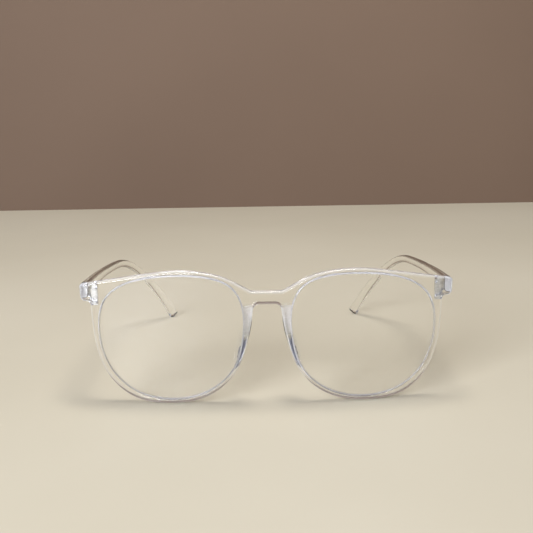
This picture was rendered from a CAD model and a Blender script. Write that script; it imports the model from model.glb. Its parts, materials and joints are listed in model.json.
"""Looks of the clear plastic eyeglasses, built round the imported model.

The classes keep their sizes in millimetres. Meshes are made in metres, in the frame of the
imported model: +Z up, the lenses face -Y, the open temples run back to +Y, and X = 0 is the
middle of the bridge. Left and right are as seen from the front: left is -X.
"""

import json
import logging
import math
from dataclasses import dataclass, field
from enum import Enum
from typing import Any

import bmesh
import bpy
import numpy as np
from mathutils import Matrix, Vector
from mathutils.geometry import delaunay_2d_cdt

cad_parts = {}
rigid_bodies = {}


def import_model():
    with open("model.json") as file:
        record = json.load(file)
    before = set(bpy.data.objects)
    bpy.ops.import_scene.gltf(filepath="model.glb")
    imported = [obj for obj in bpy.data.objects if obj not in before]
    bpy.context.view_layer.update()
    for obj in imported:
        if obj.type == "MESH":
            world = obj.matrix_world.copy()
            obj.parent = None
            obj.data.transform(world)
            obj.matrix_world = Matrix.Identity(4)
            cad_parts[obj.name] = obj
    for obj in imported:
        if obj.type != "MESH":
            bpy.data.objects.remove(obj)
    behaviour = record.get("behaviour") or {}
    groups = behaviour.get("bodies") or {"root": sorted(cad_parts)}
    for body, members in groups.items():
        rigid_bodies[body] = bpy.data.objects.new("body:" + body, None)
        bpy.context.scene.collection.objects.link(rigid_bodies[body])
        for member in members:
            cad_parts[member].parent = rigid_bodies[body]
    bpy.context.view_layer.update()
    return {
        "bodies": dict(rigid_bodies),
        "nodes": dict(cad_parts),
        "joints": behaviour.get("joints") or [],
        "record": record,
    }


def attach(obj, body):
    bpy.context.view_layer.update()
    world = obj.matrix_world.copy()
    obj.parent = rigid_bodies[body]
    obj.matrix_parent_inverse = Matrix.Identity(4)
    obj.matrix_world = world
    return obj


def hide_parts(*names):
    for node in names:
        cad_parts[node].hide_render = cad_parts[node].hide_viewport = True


MM = 0.001
IMAGE_SIDE = 533
GROUND = "ground"
SENSOR = 36.0
log = logging.getLogger("eyeglasses")


class Side(Enum):
    """A half of the eyeglasses, as seen from the front, and its sign along X."""

    LEFT = -1
    RIGHT = 1

    @property
    def word(self) -> str:
        """The side's name as it starts a node's name."""
        return self.name.lower()


class SurfaceCut(Enum):
    """How far the shading runs on across an edge, as the angle where it breaks."""

    MOULDED = 50.0
    MACHINED = 35.0


# --- Node trees ---


class Value:
    """A socket of a node tree that takes part in arithmetic."""

    def __init__(self, nodes: "Nodes", socket: bpy.types.NodeSocket) -> None:
        """Wraps a socket.

        Args:
            nodes: the tree that the socket belongs to.
            socket: the output socket.
        """
        self.nodes = nodes
        self.socket = socket

    def _math(self, operation: str, first: Any, second: Any) -> "Value":
        """Adds one Math node and returns its result."""
        return self.nodes.add("ShaderNodeMath", {"operation": operation}, {0: first, 1: second})

    def __add__(self, other: Any) -> "Value":
        """This value plus another."""
        return self._math("ADD", self, other)

    __radd__ = __add__

    def __sub__(self, other: Any) -> "Value":
        """This value less another."""
        return self._math("SUBTRACT", self, other)

    def __mul__(self, other: Any) -> "Value":
        """This value times another."""
        return self._math("MULTIPLY", self, other)

    def __truediv__(self, other: Any) -> "Value":
        """This value over another."""
        return self._math("DIVIDE", self, other)

    def call(self, operation: str, second: float = 0.0) -> "Value":
        """A named function of this value, such as SINE or FLOOR."""
        return self._math(operation, self, second)

    def clamped(self, low: float, high: float) -> "Value":
        """This value kept between two limits."""
        return self.call("MAXIMUM", low).call("MINIMUM", high)


class Nodes:
    """A shader or geometry tree that is filled through one method."""

    def __init__(self, tree: bpy.types.NodeTree) -> None:
        """Wraps a tree and empties it.

        Args:
            tree: the node tree.
        """
        self.tree = tree
        tree.nodes.clear()

    def add(self, kind: str, settings: dict[str, Any] | None = None,
            inputs: dict[Any, Any] | None = None, output: Any = 0) -> Value:
        """Adds a node.

        Args:
            kind: the node's type.
            settings: its properties, set first. Ramp stops are (position, colour) pairs.
            inputs: values or links, by the socket's name or number.
            output: the name or number of the output that is returned.

        Returns:
            The chosen output, or the node wrapped with no socket where it has none.
        """
        node = self.tree.nodes.new(kind)
        for name, value in (settings or {}).items():
            if name == "stops":
                self._set_stops(node.color_ramp, value)
            else:
                setattr(node, name, value)
        for key, value in (inputs or {}).items():
            if isinstance(value, Value):
                self.tree.links.new(value.socket, node.inputs[key])
            else:
                node.inputs[key].default_value = value
        return Value(self, node.outputs[output] if len(node.outputs) else None)

    @staticmethod
    def _set_stops(ramp: bpy.types.ColorRamp, stops: list[tuple[float, tuple]]) -> None:
        """Sets a ramp's stops."""
        while len(ramp.elements) < len(stops):
            ramp.elements.new(1.0)
        for element, (position, colour) in zip(ramp.elements, stops):
            element.position = position
            element.color = colour


# --- Finishes ---


@dataclass(frozen=True)
class Finish:
    """A finish, as one material with a Principled surface.

    Attributes:
        name: the finish in a maker's words.
        colour: base colour.
        roughness: mean roughness of the surface.
        roughness_spread: how far the roughness wanders about that mean.
        grain: size of the fine texture, per metre.
        relief: height of the fine texture, in metres.
    """

    name: str
    colour: tuple[float, float, float, float]
    roughness: float
    roughness_spread: float
    grain: float
    relief: float

    def surface(self, nodes: Nodes) -> dict[str, Any]:
        """The Principled inputs that this finish sets beside the shared ones."""
        return {}

    def pattern(self, nodes: Nodes, place: Value) -> tuple[Value, Value]:
        """The fine texture.

        Args:
            nodes: the material's tree.
            place: object coordinates.

        Returns:
            The texture that moves the roughness and the one that lifts the surface, 0 to 1.
        """
        slow = nodes.add("ShaderNodeTexNoise", {}, {"Vector": place, "Scale": self.grain, "Detail": 3.0})
        fast = nodes.add("ShaderNodeTexNoise", {},
                         {"Vector": place, "Scale": self.grain * 6.0, "Detail": 2.0})
        return fast, slow

    def over(self, nodes: Nodes, shader: Value, place: Value) -> Value:
        """The shader with anything that lies over it."""
        return shader

    def make(self) -> bpy.types.Material:
        """Builds the material.

        Returns:
            The material.
        """
        material = bpy.data.materials.new(self.name)
        material.use_nodes = True
        nodes = Nodes(material.node_tree)
        place = nodes.add("ShaderNodeTexCoord", output="Object")
        fast, slow = self.pattern(nodes, place)
        roughness = self.roughness + (fast - 0.5) * (2.0 * self.roughness_spread)
        bump = nodes.add("ShaderNodeBump", {}, {"Height": slow, "Distance": self.relief, "Strength": 1.0})
        inputs = {"Base Color": self.colour, "Roughness": roughness.clamped(0.0, 1.0), "Normal": bump}
        inputs.update(self.surface(nodes))
        shader = nodes.add("ShaderNodeBsdfPrincipled", {}, inputs)
        nodes.add("ShaderNodeOutputMaterial", {}, {"Surface": self.over(nodes, shader, place)})
        return material


@dataclass(frozen=True)
class ClearPlastic(Finish):
    """Polished water-clear plastic, matt and milky where it was ground.

    Attributes:
        ior: refractive index.
        milk: how white the ground faces are.
        milk_spread: how far the scratches move that, from their darkest to their lightest.
        scratch_grain: size of the scratches, per metre.
        scratch_depth: depth of the scratches, in metres.
        ground_roughness: roughness of the ground faces.
        ground_colour: the colour of the ground faces.
    """

    ior: float = 1.49
    milk: float = 0.72
    milk_spread: float = 0.5
    scratch_grain: float = 2600.0
    scratch_depth: float = 2e-5
    ground_roughness: float = 0.6
    ground_colour: tuple[float, float, float, float] = (0.96, 0.955, 0.985, 1)

    def surface(self, nodes: Nodes) -> dict[str, Any]:
        """Full transmission at the plastic's refractive index."""
        return {"Transmission Weight": 1.0, "IOR": self.ior}

    def over(self, nodes: Nodes, shader: Value, place: Value) -> Value:
        """The clear shader under the ground faces' fine matt scratches."""
        ground = nodes.add("ShaderNodeAttribute", {"attribute_name": GROUND}, output="Fac")
        scratches = nodes.add("ShaderNodeTexNoise", {},
                              {"Vector": place, "Scale": self.scratch_grain, "Detail": 2.0})
        bump = nodes.add("ShaderNodeBump", {},
                         {"Height": scratches, "Distance": self.scratch_depth, "Strength": 1.0})
        matt = nodes.add("ShaderNodeBsdfPrincipled", {},
                         {"Base Color": self.ground_colour, "Roughness": self.ground_roughness,
                          "Normal": bump})
        share = (ground * (self.milk + (scratches - 0.5) * self.milk_spread)).clamped(0.0, 1.0)
        return nodes.add("ShaderNodeMixShader", {}, {"Fac": share, 1: shader, 2: matt})


@dataclass(frozen=True)
class BrightMetal(Finish):
    """Tumbled metal with darker, duller hollows."""

    def surface(self, nodes: Nodes) -> dict[str, Any]:
        """Metal whose colour and gloss wander a little."""
        place = nodes.add("ShaderNodeTexCoord", output="Object")
        cloud = nodes.add("ShaderNodeTexNoise", {},
                          {"Vector": place, "Scale": self.grain * 0.4, "Detail": 4.0})
        dark = tuple(0.72 * part for part in self.colour[:3]) + (1.0,)
        tone = nodes.add("ShaderNodeValToRGB", {"stops": [(0.32, dark), (0.62, self.colour)]},
                         {"Fac": cloud})
        return {"Metallic": 1.0, "Base Color": tone}


class Finishes:
    """Every finish of the eyeglasses, made once."""

    def __init__(self) -> None:
        """Makes the materials."""
        self.frame = ClearPlastic("clear moulded plastic", (0.995, 0.99, 0.975, 1),
                                  roughness=0.012, roughness_spread=0.008, grain=90.0, relief=2e-6).make()
        self.lens = ClearPlastic("lens plastic", (0.998, 1.0, 0.998, 1),
                                 roughness=0.004, roughness_spread=0.003, grain=30.0, relief=1e-7,
                                 ior=1.5).make()
        self.pad = ClearPlastic("clear nose pad plastic", (0.98, 0.99, 1.0, 1),
                                roughness=0.03, roughness_spread=0.015, grain=120.0, relief=2e-6).make()
        self.hinge = BrightMetal("tumbled nickel silver", (0.82, 0.83, 0.86, 1),
                                 roughness=0.26, roughness_spread=0.08, grain=900.0, relief=8e-6).make()
        self.screw = BrightMetal("turned screw steel", (0.74, 0.75, 0.78, 1),
                                 roughness=0.2, roughness_spread=0.06, grain=1400.0, relief=5e-6).make()


# --- Lines and meshes ---


def smooth_line(points: list, per_span: int, start: tuple | None = None, end: tuple | None = None,
                closed: bool = False) -> np.ndarray:
    """Points along the smooth curve through some points.

    Args:
        points: the points that the curve passes through.
        per_span: steps from one of them to the next.
        start: direction at the first point, free if not given.
        end: direction at the last point, free if not given.
        closed: whether the curve closes on itself.

    Returns:
        One row for each point. A closed curve does not repeat its first point.
    """
    knots = np.array(points + points[:1] if closed else points, float)
    spans = np.linalg.norm(np.diff(knots, axis=0), axis=1)
    chords = np.diff(knots, axis=0) / spans[:, None]
    count = len(points)
    matrix = np.zeros((count, count))
    wanted = np.zeros((count, knots.shape[1]))
    for row in range(count):
        before, after = spans[row - 1], spans[row % len(spans)]
        if closed or 0 < row < count - 1:
            matrix[row, (row - 1) % count] += after
            matrix[row, row] += 2.0 * (before + after)
            matrix[row, (row + 1) % count] += before
            wanted[row] = 3.0 * (after * chords[row - 1] + before * chords[row % len(spans)])
    for row, beside, direction in ((0, 1, start), (count - 1, count - 2, end)):
        if closed:
            continue
        matrix[row, row] = 1.0 if direction is not None else 2.0
        if direction is None:
            matrix[row, beside] = 1.0
            wanted[row] = 3.0 * chords[0 if row == 0 else -1]
        else:
            wanted[row] = np.array(direction, float) / np.linalg.norm(direction)
    slopes = np.linalg.solve(matrix, wanted)
    made = []
    for span, length in enumerate(spans):
        for step in range(per_span):
            t = step / per_span
            made.append((2 * t**3 - 3 * t**2 + 1) * knots[span] + (3 * t**2 - 2 * t**3) * knots[span + 1]
                        + (t**3 - 2 * t**2 + t) * length * slopes[span]
                        + (t**3 - t**2) * length * slopes[(span + 1) % count])
    if not closed:
        made.append(knots[-1])
    return np.array(made)


def straight_line(start: tuple, end: tuple, spacing: float) -> np.ndarray:
    """Evenly spaced points from start to end, both included."""
    start, end = np.array(start, float), np.array(end, float)
    steps = max(1, round(np.linalg.norm(end - start) / spacing))
    return start + (end - start) * np.linspace(0, 1, steps + 1)[:, None]


def trimmed(line: np.ndarray, length: float) -> np.ndarray:
    """The line without its last stretch of a given length."""
    gone = np.cumsum(np.linalg.norm(np.diff(line[::-1], axis=0), axis=1))
    last = int(np.searchsorted(gone, length)) + 1
    kept = line[: len(line) - last]
    before = gone[last - 2] if last > 1 else 0.0
    share = (length - before) / (gone[last - 1] - before)
    start, end = line[len(line) - last], line[len(line) - last - 1]
    cut = start + (end - start) * share
    if len(kept) and np.linalg.norm(kept[-1] - cut) < 0.05:
        kept = kept[:-1]
    return np.vstack([kept, cut])


def rounded_path(pieces: list[np.ndarray], radii: list[float], steps: int = 8) -> np.ndarray:
    """Joins lines end to end with a rounded corner between each pair.

    Args:
        pieces: the lines, each starting where the one before ends.
        radii: corner radius after each line but the last.
        steps: steps round each corner.

    Returns:
        The joined line.
    """
    made = pieces[0]
    for piece, radius in zip(pieces[1:], radii):
        into = made[-1] - made[-2]
        out = piece[1] - piece[0]
        into, out = into / np.linalg.norm(into), out / np.linalg.norm(out)
        turn = math.acos(float(np.clip(into @ out, -1, 1)))
        made = trimmed(made, radius * math.tan(turn / 2))
        rest = trimmed(piece[::-1], radius * math.tan(turn / 2))[::-1]
        start, end = made[-1], rest[0]
        into, out = start - made[-2], rest[1] - end
        handle = 4 / 3 * math.tan(turn / 4) * radius
        near = start + into / np.linalg.norm(into) * handle
        far = end - out / np.linalg.norm(out) * handle
        t = (np.arange(1, steps) / steps)[:, None]
        arc = (1 - t)**3 * start + 3 * (1 - t)**2 * t * near + 3 * (1 - t) * t**2 * far + t**3 * end
        made = np.vstack([made, arc, rest])
    return made


def inward(loop: np.ndarray) -> np.ndarray:
    """Unit normals of a closed loop, to the left of its direction of travel."""
    along = np.roll(loop, -1, axis=0) - np.roll(loop, 1, axis=0)
    along /= np.linalg.norm(along, axis=1)[:, None]
    return np.column_stack([-along[:, 1], along[:, 0]])


def inside(points: np.ndarray, loop: np.ndarray) -> np.ndarray:
    """Which points lie inside a closed loop."""
    x, z = points[:, 0][:, None], points[:, 1][:, None]
    x1, z1 = loop[:, 0], loop[:, 1]
    x2, z2 = np.roll(x1, -1), np.roll(z1, -1)
    with np.errstate(divide="ignore", invalid="ignore"):
        crossing = ((z1 > z) != (z2 > z)) & (x < (x2 - x1) * (z - z1) / (z2 - z1) + x1)
    return crossing.sum(axis=1) % 2 == 1


def quarter(start: tuple[float, float], end: tuple[float, float], steps: int, swell_first: bool) -> list:
    """A quarter round from start to end in the plane of inset and depth.

    Args:
        start: inset and depth where it starts.
        end: inset and depth where it ends.
        steps: steps round it.
        swell_first: whether the depth changes slowly at the start, as beside a face.

    Returns:
        The points, both ends included.
    """
    made = []
    for angle in np.linspace(0, math.pi / 2, steps + 1):
        fast, slow = math.sin(angle), 1 - math.cos(angle)
        across, down = (fast, slow) if swell_first else (slow, fast)
        made.append((start[0] + (end[0] - start[0]) * across, start[1] + (end[1] - start[1]) * down))
    return made


def finished(name: str, mesh: bpy.types.Mesh, material: bpy.types.Material,
             cut: SurfaceCut) -> bpy.types.Object:
    """Turns a raw mesh into a finished piece at the origin.

    Args:
        name: the piece's name.
        mesh: its mesh, in metres.
        material: its finish.
        cut: the angle where its shading breaks.

    Returns:
        The object, with closed seams, outward faces and smooth shading.
    """
    work = bmesh.new()
    work.from_mesh(mesh)
    bmesh.ops.remove_doubles(work, verts=work.verts, dist=1e-6)
    bmesh.ops.dissolve_degenerate(work, edges=work.edges, dist=1e-7)
    bmesh.ops.recalc_face_normals(work, faces=work.faces)
    if work.calc_volume(signed=True) < 0:
        bmesh.ops.reverse_faces(work, faces=work.faces)
    open_edges = sum(1 for edge in work.edges if not edge.is_manifold)
    work.to_mesh(mesh)
    work.free()
    mesh.shade_smooth()
    mesh.set_sharp_from_angle(angle=math.radians(cut.value))
    mesh.materials.clear()
    mesh.materials.append(material)
    mesh.name = name
    piece = bpy.data.objects.new(name, mesh)
    bpy.context.scene.collection.objects.link(piece)
    log.info("%s: %d faces, %d open edges", name, len(mesh.polygons), open_edges)
    return piece


def weighted(piece: bpy.types.Object) -> bpy.types.Object:
    """Shades a piece so that its broad faces stay true beside small rounds.

    Args:
        piece: the finished piece.

    Returns:
        The same piece with the shading stored in its mesh.
    """
    modifier = piece.modifiers.new("true faces", "WEIGHTED_NORMAL")
    modifier.keep_sharp = True
    modifier.weight = 50
    bpy.context.view_layer.update()
    graph = bpy.context.evaluated_depsgraph_get()
    mesh = bpy.data.meshes.new_from_object(piece.evaluated_get(graph))
    piece.modifiers.remove(modifier)
    mesh.name = piece.name
    piece.data = mesh
    return piece


def mesh_from(points: np.ndarray, faces: list) -> bpy.types.Mesh:
    """A mesh from points in millimetres."""
    mesh = bpy.data.meshes.new("raw")
    mesh.from_pydata((points * MM).tolist(), [], faces)
    return mesh


# --- The front ---


@dataclass
class FaceSheet:
    """The curved sheet that the front and the lenses are cut from, and how it stands.

    Attributes:
        radius: curve of the face, seen from above.
        lean: degrees that the front leans back.
        shift: from the front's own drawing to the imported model's frame.
    """

    radius: float = 330.0
    lean: float = 2.5
    shift: np.ndarray = field(default_factory=lambda: np.zeros(3))

    def depth_line(self, x: np.ndarray, depth: np.ndarray) -> np.ndarray:
        """How far back the sheet lies at a place across the face."""
        return self.radius - np.sqrt((self.radius - depth)**2 - x**2)

    def stand(self, x: np.ndarray, y: np.ndarray, z: np.ndarray) -> np.ndarray:
        """Leans points of the drawing back and puts them in the model's frame."""
        angle = math.radians(self.lean)
        return np.column_stack([x, y * math.cos(angle) + z * math.sin(angle),
                                z * math.cos(angle) - y * math.sin(angle)]) + self.shift

    def put(self, drawn: np.ndarray, depth: np.ndarray) -> np.ndarray:
        """Places points drawn on X and Z at a depth behind the face."""
        return self.stand(drawn[:, 0], self.depth_line(drawn[:, 0], depth), drawn[:, 1])

    def settle(self, frame: dict[str, Any], hinge: "HingeSizes") -> None:
        """Works out the shift from the right hinge's axis in the record.

        Args:
            hinge: where the screw stands in the drawing.
        """
        joint = next(joint for joint in frame["joints"] if joint["name"] == hinge.joint)
        inner = self.radius - hinge.front_thickness - hinge.stand_off
        depth = self.radius - math.sqrt(inner**2 - hinge.x**2)
        drawn = self.stand(np.array([hinge.x]), np.array([depth]), np.array([hinge.z]))[0]
        self.shift = np.array(joint["pos_m"]) / MM - drawn


@dataclass
class HingeSizes:
    """Where the right hinge's screw stands in the front's drawing."""

    joint: str = "right_temple_fold"
    x: float = 63.7
    z: float = 40.7
    stand_off: float = 1.45
    front_thickness: float = 3.6


@dataclass
class SatinPatch:
    """The satin seat of the nose pads on the back of the nasal rims.

    Attributes:
        foot: lower end of the patch.
        head: upper end of the patch.
        reach: how far it goes to each side of the middle.
        depth: it lies behind this depth.
        fade: width over which it fades out.
        strength: how matt it is, 0 to 1.
    """

    foot: float = 25.4
    head: float = 36.0
    reach: float = 9.6
    depth: float = 3.3
    fade: float = 1.5
    strength: float = 0.8

    def at(self, drawn: np.ndarray, depth: float) -> np.ndarray:
        """How matt the front is at some points of the drawing, 0 to 1."""
        if depth < self.depth:
            return np.zeros(len(drawn))
        room = [drawn[:, 1] - self.foot, self.head - drawn[:, 1], self.reach - np.abs(drawn[:, 0])]
        return self.strength * np.clip(np.min(room, axis=0) / self.fade + 0.5, 0, 1)


@dataclass
class WorkedEdge:
    """One outline's edge, as it meets the two faces.

    Attributes:
        loop: the outline of the two faces there, on X and Z.
        front_start: number of its first point on the front face.
        front_depth: depth of the front face.
        back_start: number of its first point on the back face.
        back_depth: depth of the back face.
    """

    loop: np.ndarray
    front_start: int
    front_depth: float
    back_start: int
    back_depth: float


@dataclass
class EdgedSheet:
    """A curved sheet with holes and a worked edge round each outline.

    Attributes:
        sheet: the sheet that it is cut from.
        patch: where its back is satin, if anywhere.
        spacing: distance between points inside its two faces.
        clear: least distance from those points to an edge.
        sliver: triangles smaller than this lie on a straight edge and are left out.
    """

    sheet: FaceSheet
    patch: SatinPatch | None = None
    spacing: float = 1.0
    clear: float = 0.5
    sliver: float = 1e-4
    points: list = field(default_factory=list)
    ground: list = field(default_factory=list)
    faces: list = field(default_factory=list)
    rims: list = field(default_factory=list)

    def add(self, drawn: np.ndarray, depth: float, ground: float = 0.0) -> int:
        """Adds points at a depth and says how many came before them."""
        first = sum(len(block) for block in self.points)
        self.points.append(self.sheet.put(drawn, np.full(len(drawn), depth)))
        marks = np.full(len(drawn), ground)
        self.ground.append(np.maximum(marks, self.patch.at(drawn, depth)) if self.patch else marks)
        return first

    def edge(self, loop: np.ndarray, into: np.ndarray, profile: list[tuple[float, float]],
             ground: list[float] | None = None) -> None:
        """Adds the edge along one closed outline.

        Args:
            loop: the outline, on X and Z.
            into: unit normals into the material.
            profile: inset and depth of each line of the edge, from the front face to the back.
            ground: how matt each line of the profile is, 0 to 1, polished if not given.
        """
        first = sum(len(block) for block in self.points)
        count = len(loop)
        for line, (inset, depth) in enumerate(profile):
            self.add(loop + into * inset, depth, ground[line] if ground else 0.0)
        for ring in range(len(profile) - 1):
            for here in range(count):
                after = (here + 1) % count
                low, high = first + ring * count, first + (ring + 1) * count
                self.faces.append((low + here, low + after, high + after, high + here))
        last = first + (len(profile) - 1) * count
        self.rims.append(WorkedEdge(loop + into * profile[0][0], first, profile[0][1], last, profile[-1][1]))

    def fill(self, holes: int) -> None:
        """Fills the two faces between the outlines.

        Args:
            holes: how many of the outlines, counted from the last, are holes.
        """
        outer = self.rims[0].loop
        cuts = [rim.loop for rim in self.rims[len(self.rims) - holes:]] if holes else []
        edges_2d = np.vstack([rim.loop for rim in self.rims])
        low, high = outer.min(axis=0), outer.max(axis=0)
        rows = np.arange(low[1], high[1], self.spacing * math.sqrt(3) / 2)
        grid = np.array([(x + (row % 2) * self.spacing / 2, z) for row, z in enumerate(rows)
                         for x in np.arange(low[0], high[0], self.spacing)])
        keep = inside(grid, outer)
        for cut in cuts:
            keep &= ~inside(grid, cut)
        grid = grid[keep]
        near = np.array([np.min(np.sum((edges_2d - point)**2, axis=1)) for point in grid])
        grid = grid[near > self.clear**2]
        flat = [Vector(point) for point in np.vstack([edges_2d, grid])]
        lines, start = [], 0
        for rim in self.rims:
            count = len(rim.loop)
            lines += [(start + here, start + (here + 1) % count) for here in range(count)]
            start += count
        verts, _, triangles, origins, _, _ = delaunay_2d_cdt(flat, lines, [], 0, 1e-5)
        place = [origin[0] if origin else -1 for origin in origins]
        flat_out = np.array([tuple(vert) for vert in verts])
        middles = np.array([flat_out[list(triangle)].mean(axis=0) for triangle in triangles])
        keep = inside(middles, outer)
        for cut in cuts:
            keep &= ~inside(middles, cut)
        a, b, c = (flat_out[[triangle[corner] for triangle in triangles]] for corner in range(3))
        across, beside = b - a, c - a
        area = np.abs(across[:, 0] * beside[:, 1] - beside[:, 0] * across[:, 1]) / 2
        keep &= area > self.sliver
        kept = [triangle for triangle, wanted in zip(triangles, keep) if wanted]
        for back in (False, True):
            numbers = self._edge_numbers(back)
            depth = self.rims[0].back_depth if back else self.rims[0].front_depth
            added = self.add(grid, depth)
            numbers += list(range(added, added + len(grid)))
            for triangle in kept:
                self.faces.append(tuple(numbers[place[corner]] for corner in triangle))

    def _edge_numbers(self, back: bool) -> list[int]:
        """The numbers of the outlines' points on one face, in order."""
        numbers = []
        for rim in self.rims:
            start = rim.back_start if back else rim.front_start
            numbers += list(range(start, start + len(rim.loop)))
        return numbers

    def mesh(self) -> bpy.types.Mesh:
        """The mesh of everything added so far, with its ground faces marked."""
        mesh = mesh_from(np.vstack(self.points), self.faces)
        marks = mesh.attributes.new(GROUND, "FLOAT", "POINT")
        marks.data.foreach_set("value", np.concatenate(self.ground).astype(np.float32))
        return mesh


@dataclass
class LensShape:
    """The right lens opening, as seen from the front."""

    points: tuple = ((61.4, 30.0), (59.2, 38.2), (52.8, 43.6), (43.5, 46.3), (32.5, 47.2),
                     (21.0, 46.3), (12.8, 42.6), (9.2, 35.5), (9.2, 24.5), (12.9, 12.8),
                     (22.0, 4.6), (35.5, 1.6), (48.5, 4.4), (57.4, 12.6), (60.9, 22.0))
    steps: int = 22

    def loop(self, side: Side) -> np.ndarray:
        """The opening's outline on one side, anticlockwise from the front."""
        loop = smooth_line(list(self.points), self.steps, closed=True)
        return loop if side is Side.RIGHT else (loop * (-1, 1))[::-1]


@dataclass
class Front:
    """The moulded front: bridge, rims with lens grooves, and end pieces."""

    sheet: FaceSheet
    opening: LensShape
    thickness: float = 3.6
    outer_round: float = 1.1
    inner_round: float = 0.35
    bridge_corner: tuple = (5.6, 41.6)
    brow: tuple = ((11.0, 44.5), (15.8, 46.8), (22.5, 48.5), (32.5, 49.2), (47.0, 47.6))
    brow_start: tuple = (1.0, 0.5)
    end_top: tuple = (68.6, 44.2)
    end_bottom: tuple = (68.2, 37.9)
    rim_top: tuple = (64.5, 37.9)
    rim: tuple = ((64.1, 29.0), (62.4, 18.9), (57.9, 9.2), (48.5, 1.8), (36.5, 0.0),
                  (24.2, 1.9), (13.6, 9.3), (8.3, 19.5), (6.1, 28.5))
    nose_corner: tuple = (4.9, 36.8)
    corner_radii: tuple = (2.5, 1.3, 1.8, 1.5, 2.2)
    groove_depth: float = 0.55
    groove: tuple = (1.35, 2.15)
    edge_satin: float = 0.32
    groove_satin: float = 0.8
    steps: int = 12
    spacing: float = 0.7

    def outline(self) -> np.ndarray:
        """The closed outline, clockwise from the middle of the bridge's top."""
        brow = smooth_line([self.bridge_corner, *self.brow], self.steps, self.brow_start,
                           np.subtract(self.end_top, self.brow[-1]))
        rim = smooth_line([self.rim_top, *self.rim, self.nose_corner], self.steps + 4, (0, -1), (-0.1, 1))
        run_out = straight_line(self.brow[-1], self.end_top, self.spacing)
        pieces = [straight_line((0, self.bridge_corner[1]), self.bridge_corner, self.spacing),
                  np.vstack([brow, run_out[1:]]),
                  straight_line(self.end_top, self.end_bottom, self.spacing),
                  straight_line(self.end_bottom, self.rim_top, self.spacing / 2), rim,
                  straight_line(self.nose_corner, (0, self.nose_corner[1]), self.spacing)]
        half = rounded_path(pieces, list(self.corner_radii))
        return np.vstack([half, (half * (-1, 1))[::-1][1:-1]])

    def build(self, finish: bpy.types.Material) -> bpy.types.Object:
        """Builds the front in one piece.

        Args:
            finish: its material.

        Returns:
            The finished piece.
        """
        made = EdgedSheet(self.sheet, SatinPatch(), spacing=0.8)
        outer, back, small = self.outer_round, self.thickness, self.inner_round
        profile = quarter((outer, 0), (0, outer), 7, True)
        profile += [(0, back / 2)] + quarter((0, back - outer), (outer, back), 7, False)
        satin = [self.edge_satin * min(1.0, max(0.0, (self.outer_round - inset) / self.outer_round * 2 - 0.4))
                 for inset, _ in profile]
        loop = self.outline()
        made.edge(loop, -inward(loop), profile, satin)
        near, far = self.groove
        wall = quarter((small, 0), (0, small), 5, True)
        wall += [(0, near), (self.groove_depth, near), (self.groove_depth, far), (0, far)]
        wall += quarter((0, back - small), (small, back), 5, False)
        cut = [self.groove_satin if near <= depth <= far else 0.0 for _, depth in wall]
        for side in Side:
            loop = self.opening.loop(side)
            made.edge(loop, -inward(loop), wall, cut)
        made.fill(2)
        return weighted(finished("clear_front", made.mesh(), finish, SurfaceCut.MOULDED))


@dataclass
class Lens:
    """A clear lens: a curved plate with a tongue round its edge."""

    sheet: FaceSheet
    opening: LensShape
    depth: float = 0.8
    thickness: float = 1.9
    clearance: float = 0.05
    bevel: float = 0.12
    tongue: float = 0.5
    tongue_width: float = 0.7

    def build(self, side: Side, finish: bpy.types.Material) -> bpy.types.Object:
        """Builds one lens.

        Args:
            side: the side that it is on.
            finish: its material.

        Returns:
            The finished piece.
        """
        made = EdgedSheet(self.sheet, spacing=1.6, clear=0.6)
        back, middle = self.depth + self.thickness, self.depth + self.thickness / 2
        near, far = middle - self.tongue_width / 2, middle + self.tongue_width / 2
        gap, inner = self.clearance, self.clearance + self.bevel
        profile = quarter((inner, self.depth), (gap, self.depth + self.bevel), 3, True)
        profile += [(gap, near), (-self.tongue, near), (-self.tongue, far), (gap, far)]
        profile += quarter((gap, back - self.bevel), (inner, back), 3, False)
        loop = self.opening.loop(side)
        made.edge(loop, inward(loop), profile, [0, 0, 0.6] + [1] * (len(profile) - 6) + [0.6, 0, 0])
        made.fill(0)
        return weighted(finished(f"{side.word}_clear_lens", made.mesh(), finish, SurfaceCut.MOULDED))


@dataclass
class NosePad:
    """A clear nose pad, cemented behind a nasal rim."""

    sheet: FaceSheet
    semi_axes: tuple = (1.3, 3.7, 11.2)
    centre: tuple = (9.2, 5.6, 22.2)
    splay: float = 21.0
    slant: float = 17.0
    seat_depth: float = 3.6
    sunk: float = 0.08
    rows: int = 48
    columns: int = 56

    def build(self, side: Side, finish: bpy.types.Material) -> bpy.types.Object:
        """Builds one pad.

        Args:
            side: the side that it is on.
            finish: its material.

        Returns:
            The finished piece.
        """
        slant = Matrix.Rotation(math.radians(-self.slant), 3, "Y")
        turn = slant @ Matrix.Rotation(math.radians(-self.splay), 3, "Z")
        points = []
        for row in range(self.rows + 1):
            down = math.pi * row / self.rows
            for column in range(self.columns):
                round_ = 2 * math.pi * column / self.columns
                ball = (math.sin(down) * math.cos(round_), math.sin(down) * math.sin(round_), math.cos(down))
                points.append(turn @ Vector(a * b for a, b in zip(ball, self.semi_axes)))
        points = np.array([tuple(point) for point in points]) + self.centre
        seat = self.sheet.depth_line(points[:, 0], self.seat_depth - self.sunk)
        points[:, 1] = np.maximum(points[:, 1], seat)
        points[:, 0] *= side.value
        faces = [(row * self.columns + here, row * self.columns + (here + 1) % self.columns,
                  (row + 1) * self.columns + (here + 1) % self.columns, (row + 1) * self.columns + here)
                 for row in range(self.rows) for here in range(self.columns)]
        mesh = mesh_from(self.sheet.stand(points[:, 0], points[:, 1], points[:, 2]), faces)
        return finished(f"{side.word}_clear_pad", mesh, finish, SurfaceCut.MOULDED)


# --- Temples ---


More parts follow.
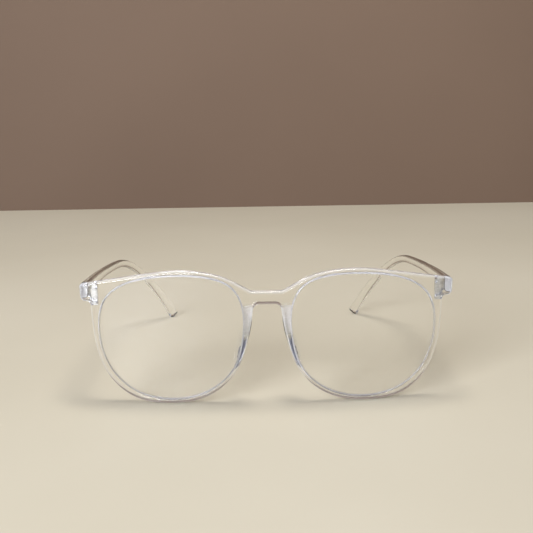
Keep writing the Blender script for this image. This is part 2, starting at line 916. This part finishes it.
def swept_section_tree() -> bpy.types.NodeTree:
    """Geometry nodes that sweep a rounded section along a line of stations.

    The stations are the points of the geometry, in order. Each carries the attributes across,
    upward, half_width and half_height of its section, and ground where the end was ground matt.

    Returns:
        The node group.
    """
    tree = bpy.data.node_groups.new("swept temple section", "GeometryNodeTree")
    face = tree.interface
    face.new_socket("Stations", in_out="INPUT", socket_type="NodeSocketGeometry")
    for name, kind, value in (("Points Around", "NodeSocketInt", 48),
                              ("Corner Share", "NodeSocketFloat", 0.84),
                              ("Flat Side Sharpness", "NodeSocketFloat", 6.0),
                              ("Seam Distance", "NodeSocketFloat", 1e-6)):
        face.new_socket(name, in_out="INPUT", socket_type=kind).default_value = value
    face.new_socket("Finish", in_out="INPUT", socket_type="NodeSocketMaterial")
    face.new_socket("Temple", in_out="OUTPUT", socket_type="NodeSocketGeometry")
    nodes = Nodes(tree)

    def given(name: str) -> Value:
        """One of the group's inputs."""
        return nodes.add("NodeGroupInput", output=name)

    def station(name: str, kind: str, row: Value) -> Value:
        """An attribute of the station that a row of points belongs to."""
        read = nodes.add("GeometryNodeInputNamedAttribute", {"data_type": kind}, {"Name": name})
        return nodes.add("GeometryNodeSampleIndex", {"data_type": kind},
                         {"Geometry": given("Stations"), "Value": read, "Index": row})

    def vector_math(operation: str, first: Value, second: Value | None, scale: Value | None = None) -> Value:
        """One Vector Math node."""
        inputs = {0: first}
        if second is not None:
            inputs[1] = second
        if scale is not None:
            inputs["Scale"] = scale
        return nodes.add("ShaderNodeVectorMath", {"operation": operation}, inputs)

    count = nodes.add("GeometryNodeAttributeDomainSize", {"component": "MESH"},
                      {"Geometry": given("Stations")})
    around = given("Points Around") + 1.0
    grid = nodes.add("GeometryNodeMeshGrid", {}, {"Vertices X": count, "Vertices Y": around})
    index = nodes.add("GeometryNodeInputIndex")
    row = ((index + 0.5) / around).call("FLOOR")
    angle = (index - row * around) / given("Points Around") * (2 * math.pi)
    half_width = station("half_width", "FLOAT", row)
    half_height = station("half_height", "FLOAT", row)
    corner = half_width * given("Corner Share")
    offsets = []
    for half, wave in ((half_width, angle.call("COSINE")), (half_height, angle.call("SINE"))):
        flat = (wave * given("Flat Side Sharpness")).clamped(-1.0, 1.0)
        offsets.append(flat * (half - corner) + wave * corner)
    position = nodes.add("GeometryNodeInputPosition")
    centre = nodes.add("GeometryNodeSampleIndex", {"data_type": "FLOAT_VECTOR"},
                       {"Geometry": given("Stations"), "Value": position, "Index": row})
    across = vector_math("SCALE", station("across", "FLOAT_VECTOR", row), None, offsets[0])
    upward = vector_math("SCALE", station("upward", "FLOAT_VECTOR", row), None, offsets[1])
    placed = vector_math("ADD", vector_math("ADD", centre, across), upward)
    marked = nodes.add("GeometryNodeStoreNamedAttribute", {"data_type": "FLOAT"},
                       {"Geometry": grid, "Name": GROUND, "Value": station(GROUND, "FLOAT", row)})
    moved = nodes.add("GeometryNodeSetPosition", {}, {"Geometry": marked, "Position": placed})
    closed = nodes.add("GeometryNodeMergeByDistance", {},
                       {"Geometry": moved, "Distance": given("Seam Distance")})
    smooth = nodes.add("GeometryNodeSetShadeSmooth", {}, {"Geometry": closed, "Shade Smooth": True})
    real = nodes.add("GeometryNodeRealizeInstances", {}, {"Geometry": smooth})
    dressed = nodes.add("GeometryNodeSetMaterial", {}, {"Geometry": real, "Material": given("Finish")})
    nodes.add("NodeGroupOutput", {}, {"Temple": dressed})
    return tree


@dataclass
class Temple:
    """A temple: a section swept along the line of its top edge."""

    sheet: FaceSheet
    tree: bpy.types.NodeTree
    top_line: tuple = ((66.85, 9.0, 44.2), (67.5, 30.0, 42.5), (67.6, 60.0, 39.6),
                       (66.6, 86.0, 36.9), (65.0, 98.0, 35.2), (61.8, 108.0, 31.6),
                       (56.6, 116.6, 24.6), (50.4, 123.4, 15.0), (43.6, 129.6, 1.82))
    top_start: tuple = (0.039, 0.997, -0.072)
    top_end: tuple = (-0.37, 0.358, -0.857)
    shares: tuple = (0.0, 0.14, 0.36, 0.64, 0.8, 1.0)
    heights: tuple = (5.9, 4.9, 3.9, 3.4, 3.6, 4.6)
    thicknesses: tuple = (3.4, 3.0, 2.5, 2.3, 2.4, 2.8)
    butt_depth: float = 3.75
    butt_round: float = 0.3
    tip_round: float = 0.95
    settle_length: float = 14.0
    spacing: float = 0.8
    end_steps: int = 7
    around: int = 48
    line_steps: int = 60
    aim: float = 0.3
    butt_search: int = 400

    def stations(self) -> tuple[np.ndarray, ...]:
        """The sections' centres, directions and half sizes.

        Returns:
            Centres, directions across, directions upwards, half widths and half heights.
        """
        line = smooth_line(list(self.top_line), self.line_steps, self.top_start, self.top_end)
        run = np.concatenate([[0], np.cumsum(np.linalg.norm(np.diff(line, axis=0), axis=1))])
        length = run[-1]
        start = self._butt_start(line, run)
        places = [(start, self.butt_round)]
        places += [(start + self.butt_round * (1 - math.cos(a)), self.butt_round * (1 - math.sin(a)))
                   for a in np.linspace(0, math.pi / 2, self.end_steps)]
        middle = np.linspace(start + self.butt_round, length - self.tip_round,
                             round((length - start) / self.spacing))[1:-1]
        places += [(place, 0.0) for place in middle]
        places += [(length - self.tip_round * (1 - math.cos(a)), self.tip_round * (1 - math.sin(a)))
                   for a in np.linspace(math.pi / 2, 0, self.end_steps)]
        places += [(length, self.tip_round)]
        where = np.array([place for place, _ in places])
        inset = np.array([value for _, value in places])
        top = np.column_stack([np.interp(where, run, line[:, axis]) for axis in range(3)])
        ahead = np.column_stack([np.interp(np.minimum(where + self.aim, length), run, line[:, axis])
                                 for axis in range(3)])
        behind = np.column_stack([np.interp(np.maximum(where - self.aim, 0), run, line[:, axis])
                                  for axis in range(3)])
        along = ahead - behind
        along /= np.linalg.norm(along, axis=1)[:, None]
        across = np.cross(along, (0, 0, 1))
        across /= np.linalg.norm(across, axis=1)[:, None]
        upward = np.cross(across, along)
        height = np.interp(where / length, self.shares, self.heights)
        thickness = np.interp(where / length, self.shares, self.thicknesses)
        centre = top - upward * (height / 2)[:, None]
        self._face_the_front(centre, across, upward, where - start)
        half_width, half_height = thickness / 2 - inset, height / 2 - inset
        for end in (0, -1):
            half_width[end] = half_height[end] = 0.0
        return centre, across, upward, half_width, half_height

    def _cut(self, points: np.ndarray) -> np.ndarray:
        """How far back the butt face lies at some points of the model as it stands on the bench."""
        angle = math.radians(self.sheet.lean)
        upright = points[:, 2] / math.cos(angle)
        drawn = self.sheet.depth_line(points[:, 0], np.full(len(points), self.butt_depth))
        return drawn * math.cos(angle) + (upright + drawn * math.sin(angle)) * math.sin(angle)

    def _butt_start(self, line: np.ndarray, run: np.ndarray) -> float:
        """How far along the line the butt face cuts the middle of the section."""
        middle = line - (0, 0, self.heights[0] / 2)
        gap = middle[:, 1] - self._cut(middle)
        return float(np.interp(0.0, gap[:self.butt_search], run[:self.butt_search]))

    def _face_the_front(self, centre: np.ndarray, across: np.ndarray, upward: np.ndarray,
                        run: np.ndarray) -> None:
        """Tilts the first sections until they lie along the back of the end piece."""
        for place, distance in enumerate(run):
            share = max(0.0, 1.0 - distance / self.settle_length)
            share = share * share * (3 - 2 * share)
            if not share:
                break
            for direction in (across, upward):
                ends = np.vstack([centre[place] - direction[place], centre[place] + direction[place]])
                level = (self._cut(ends)[1] - self._cut(ends)[0]) / 2
                direction[place, 1] += (level - direction[place, 1]) * share

    def build(self, side: Side, finish: bpy.types.Material) -> bpy.types.Object:
        """Builds one temple.

        Args:
            side: the side that it is on.
            finish: its material.

        Returns:
            The finished piece.
        """
        centre, across, upward, half_width, half_height = self.stations()
        flip = np.array([side.value, 1, 1])
        centre, across, upward = (centre + self.sheet.shift) * flip, across * flip, upward * flip
        mesh = bpy.data.meshes.new("stations")
        mesh.from_pydata((centre * MM).tolist(), [(n, n + 1) for n in range(len(centre) - 1)], [])
        ground = np.zeros(len(centre))
        ground[:self.end_steps // 2] = 1.0
        for name, kind, values in (("across", "FLOAT_VECTOR", across), ("upward", "FLOAT_VECTOR", upward),
                                   (GROUND, "FLOAT", ground),
                                   ("half_width", "FLOAT", half_width * MM),
                                   ("half_height", "FLOAT", half_height * MM)):
            key = "vector" if kind == "FLOAT_VECTOR" else "value"
            mesh.attributes.new(name, kind, "POINT").data.foreach_set(key, values.astype(np.float32).ravel())
        carrier = bpy.data.objects.new("stations", mesh)
        bpy.context.scene.collection.objects.link(carrier)
        modifier = carrier.modifiers.new("temple", "NODES")
        modifier.node_group = self.tree
        sizes = {"Points Around": self.around, "Finish": finish}
        for socket in self.tree.interface.items_tree:
            if socket.name in sizes and socket.in_out == "INPUT":
                modifier[socket.identifier] = sizes[socket.name]
        bpy.context.view_layer.update()
        graph = bpy.context.evaluated_depsgraph_get()
        swept = bpy.data.meshes.new_from_object(carrier.evaluated_get(graph))
        carrier.modifiers.remove(modifier)
        bpy.data.objects.remove(carrier)
        return finished(f"{side.word}_clear_temple", swept, finish, SurfaceCut.MOULDED)


# --- Hinge metal ---


@dataclass
class HingeMetal:
    """The hinge's metal pieces, with their edges broken as by tumbling."""

    edge_break: float = 0.07
    flat_angle: float = 2.0
    edge_angle: float = 40.0

    def build(self, node: str, name: str, finish: bpy.types.Material,
              frame: dict[str, Any]) -> bpy.types.Object:
        """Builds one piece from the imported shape.

        Args:
            node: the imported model's node.
            name: the new piece's name.
            finish: its material.

        Returns:
            The finished piece.
        """
        work = bmesh.new()
        work.from_mesh(frame["nodes"][node].data)
        bmesh.ops.remove_doubles(work, verts=work.verts, dist=1e-6)
        bmesh.ops.dissolve_limit(work, angle_limit=math.radians(self.flat_angle), verts=work.verts,
                                 edges=work.edges)
        sharp = [edge for edge in work.edges
                 if len(edge.link_faces) == 2 and edge.calc_face_angle(0.0) > math.radians(self.edge_angle)]
        bmesh.ops.bevel(work, geom=sharp, offset=self.edge_break * MM, offset_type="OFFSET", segments=2,
                        profile=0.5, affect="EDGES", clamp_overlap=True)
        mesh = bpy.data.meshes.new(name)
        work.to_mesh(mesh)
        work.free()
        return weighted(finished(name, mesh, finish, SurfaceCut.MACHINED))


# --- The assembly ---


@dataclass
class Eyeglasses:
    """The whole object: every piece, on its body and in place of its node."""

    frame: dict[str, Any]
    finishes: Finishes
    sheet: FaceSheet = field(default_factory=FaceSheet)
    opening: LensShape = field(default_factory=LensShape)

    def fit(self, piece: bpy.types.Object, body: str, node: str) -> None:
        """Puts a finished piece on a body in place of a node.

        Args:
            piece: the finished piece.
            body: the body that it rides on.
            node: the node that it stands for.
        """
        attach(piece, body)
        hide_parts(node)
        log.info("%s rides on %s in place of %s", piece.name, body, node)

    def build(self) -> None:
        """Builds every piece."""
        self.sheet.settle(self.frame, HingeSizes())
        finishes = self.finishes
        self.fit(Front(self.sheet, self.opening).build(finishes.frame), "front", "front_frame")
        temple = Temple(self.sheet, swept_section_tree())
        metal = HingeMetal()
        for side in Side:
            word, arm = side.word, f"{side.word}_arm"
            lens = Lens(self.sheet, self.opening).build(side, finishes.lens)
            self.fit(lens, "front", f"{word}_lens")
            pad = NosePad(self.sheet).build(side, finishes.pad)
            self.fit(pad, "front", f"{word}_nose_pad")
            self.fit(temple.build(side, finishes.frame), arm, f"{word}_temple")
            for part, body, finish, slot in (("front_hinge_leaf", "front", finishes.hinge, "hinge_metal"),
                                             ("temple_hinge_leaf", arm, finishes.hinge, "hinge_metal"),
                                             ("hinge_screw", "front", finishes.screw, "screw_metal")):
                node = f"{word}_{part}"
                self.fit(metal.build(node, f"{node}_metal", finish, self.frame), body, node)


# --- The studio ---


@dataclass
class Studio:
    """Pale floor, soft light and the camera."""

    sheet: FaceSheet
    focal: float = 900.0
    height: float = 115.8
    distance: float = 312.1
    aside: float = -0.07
    pitch: float = 0.2042
    roll: float = 0.0142
    yaw: float = 0.0147
    floor_size: float = 8.0
    board_place: float = 0.46
    board_width: float = 0.62
    board_height: float = 0.85
    board_foot: float = -0.01

    def set_camera(self) -> None:
        """Makes the camera and gives it to the scene."""
        data = bpy.data.cameras.new("camera")
        data.sensor_width = SENSOR
        data.lens = self.focal * SENSOR / IMAGE_SIDE
        data.clip_start, data.clip_end = 0.01, 50.0
        forward = Vector((0, math.cos(self.pitch), -math.sin(self.pitch)))
        up = Vector((0, math.sin(self.pitch), math.cos(self.pitch)))
        right = Vector((1, 0, 0))
        level_right, level_up = right.copy(), up.copy()
        right = level_right * math.cos(self.roll) - level_up * math.sin(self.roll)
        up = level_right * math.sin(self.roll) + level_up * math.cos(self.roll)
        turn = Matrix.Rotation(-self.yaw, 3, "Z")
        axes = Matrix((turn @ right, turn @ up, turn @ -forward)).transposed().to_4x4()
        place = turn @ Vector((self.aside, -self.distance, self.height)) + Vector(self.sheet.shift)
        camera = bpy.data.objects.new("camera", data)
        camera.matrix_world = Matrix.Translation(place * MM) @ axes
        bpy.context.scene.collection.objects.link(camera)
        bpy.context.scene.camera = camera

    def stage_sheet(self, name: str, finish: str, corners: list[tuple], tones: tuple, cloud_scale: float,
                    roughness: float) -> None:
        """Stages one plain flat sheet that is not part of the object.

        Args:
            name: the sheet's name.
            finish: its material's name.
            corners: its four corners, in metres.
            tones: the darkest and the lightest colour of its faint clouds.
            cloud_scale: size of the clouds, per metre.
            roughness: its roughness.
        """
        material = bpy.data.materials.new(finish)
        material.use_nodes = True
        nodes = Nodes(material.node_tree)
        place = nodes.add("ShaderNodeTexCoord", output="Object")
        cloud = nodes.add("ShaderNodeTexNoise", {}, {"Vector": place, "Scale": cloud_scale, "Detail": 3.0})
        tone = nodes.add("ShaderNodeValToRGB", {"stops": [(0.3, tones[0]), (0.7, tones[1])]}, {"Fac": cloud})
        shader = nodes.add("ShaderNodeBsdfPrincipled", {}, {"Base Color": tone, "Roughness": roughness})
        nodes.add("ShaderNodeOutputMaterial", {}, {"Surface": shader})
        mesh = bpy.data.meshes.new(name)
        mesh.from_pydata(corners, [], [(0, 1, 2, 3)])
        mesh.materials.append(material)
        sheet = bpy.data.objects.new(name, mesh)
        bpy.context.scene.collection.objects.link(sheet)

    def lay_floor(self) -> None:
        """Lays the plain pale floor."""
        half = self.floor_size / 2
        corners = [(-half, -half, 0), (half, -half, 0), (half, half, 0), (-half, half, 0)]
        self.stage_sheet("floor", "pale floor", corners,
                         ((0.55, 0.505, 0.395, 1), (0.585, 0.54, 0.43, 1)), 6.0, 0.55)

    def stand_backdrop(self) -> None:
        """Stands a plain warm board behind the table."""
        half, back, foot, top = self.board_width / 2, self.board_place, self.board_foot, self.board_height
        corners = [(-half, back, foot), (half, back, foot), (half, back, top), (-half, back, top)]
        self.stage_sheet("backdrop", "warm backdrop", corners,
                         ((0.135, 0.085, 0.055, 1), (0.165, 0.107, 0.071, 1)), 2.5, 0.7)

    def hang_light(self, name: str, place: tuple, target: tuple, size: tuple, power: float,
                   colour: tuple) -> None:
        """Hangs one soft light.

        Args:
            name: the light's name.
            place: where it hangs, in metres.
            target: the point that it faces.
            size: its width and height.
            power: its power in watts.
            colour: its colour.
        """
        data = bpy.data.lights.new(name, "AREA")
        data.shape = "RECTANGLE"
        data.size, data.size_y = size
        data.energy = power
        data.color = colour
        light = bpy.data.objects.new(name, data)
        light.location = place
        light.rotation_mode = "QUATERNION"
        light.rotation_quaternion = (Vector(target) - Vector(place)).to_track_quat("-Z", "Y")
        bpy.context.scene.collection.objects.link(light)

    def set_world(self) -> None:
        """Soft room light: pale above and in front, deep blue at the sides, warm behind the board."""
        world = bpy.data.worlds.new("room")
        bpy.context.scene.world = world
        world.use_nodes = True
        nodes = Nodes(world.node_tree)
        direction = nodes.add("ShaderNodeTexCoord", output="Generated")
        height = nodes.add("ShaderNodeSeparateXYZ", {}, {0: direction}, output="Z")
        back = nodes.add("ShaderNodeSeparateXYZ", {}, {0: direction}, output="Y")
        walls = nodes.add("ShaderNodeValToRGB",
                          {"stops": [(0.25, (0.78, 0.80, 0.88, 1)), (0.5, (0.09, 0.11, 0.21, 1)),
                                     (0.93, (0.10, 0.11, 0.17, 1)), (0.98, (0.13, 0.088, 0.06, 1))]},
                          {"Fac": back * 0.5 + 0.5})
        share = (height * 2.2 - 1.2).clamped(0.0, 1.0)
        tone = nodes.add("ShaderNodeMix", {"data_type": "RGBA"},
                         {"Factor": share, "A": walls, "B": (0.75, 0.74, 0.72, 1)}, output="Result")
        shade = nodes.add("ShaderNodeBackground", {}, {"Color": tone, "Strength": 0.7})
        nodes.add("ShaderNodeOutputWorld", {}, {"Surface": shade})

    def build(self) -> None:
        """Sets up everything that is not part of the object."""
        bpy.context.scene.view_settings.view_transform = "Standard"
        self.set_camera()
        self.lay_floor()
        self.stand_backdrop()
        self.set_world()
        self.hang_light("overhead softbox", (0.05, 0.05, 0.85), (0, 0, 0), (0.4, 0.24), 4.0,
                        (1.0, 0.95, 0.88))
        self.hang_light("window", (-0.5, -0.95, 0.5), (0, 0, 0.02), (0.6, 0.45), 13.5, (0.90, 0.93, 1.0))


def clear_scene() -> None:
    """Removes whatever the empty file holds."""
    for thing in list(bpy.data.objects):
        bpy.data.objects.remove(thing)


def main() -> None:
    """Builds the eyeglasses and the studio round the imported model."""
    logging.basicConfig(level=logging.INFO, format="%(message)s")
    clear_scene()
    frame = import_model()
    glasses = Eyeglasses(frame, Finishes())
    glasses.build()
    Studio(glasses.sheet).build()


if __name__ == "__main__":
    main()
